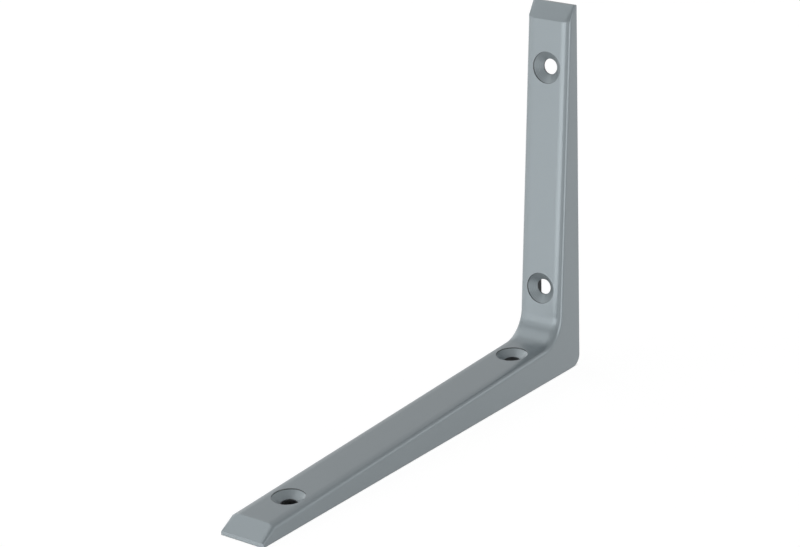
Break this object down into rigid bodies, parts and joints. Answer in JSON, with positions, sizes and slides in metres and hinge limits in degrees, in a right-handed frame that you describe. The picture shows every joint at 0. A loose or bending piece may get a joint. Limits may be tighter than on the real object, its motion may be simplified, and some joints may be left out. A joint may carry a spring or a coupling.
{
  "type": "shelf bracket",
  "caption": "L-shaped shelf bracket, cast in one piece with tapering legs, rounded edges, countersunk screw holes and a hollow back.",
  "frame": {"origin": "on the mid-plane, where the plane of the wall and the plane that the shelf lies on meet", "axes": "+X across the bracket; the arm reaches out along -Y with its open back down on z = 0; the wall leg rises along +Z with its open back on y = 0. In use the part is turned over about X, so that the arm is on top"},
  "size_m": [0.0156, 0.16, 0.12],
  "materials": {
    "casting": "satin silver-grey paint on die-cast aluminium"
  },
  "bodies": {
    "root": {"bracket": "casting"}
  },
  "joints": []
}
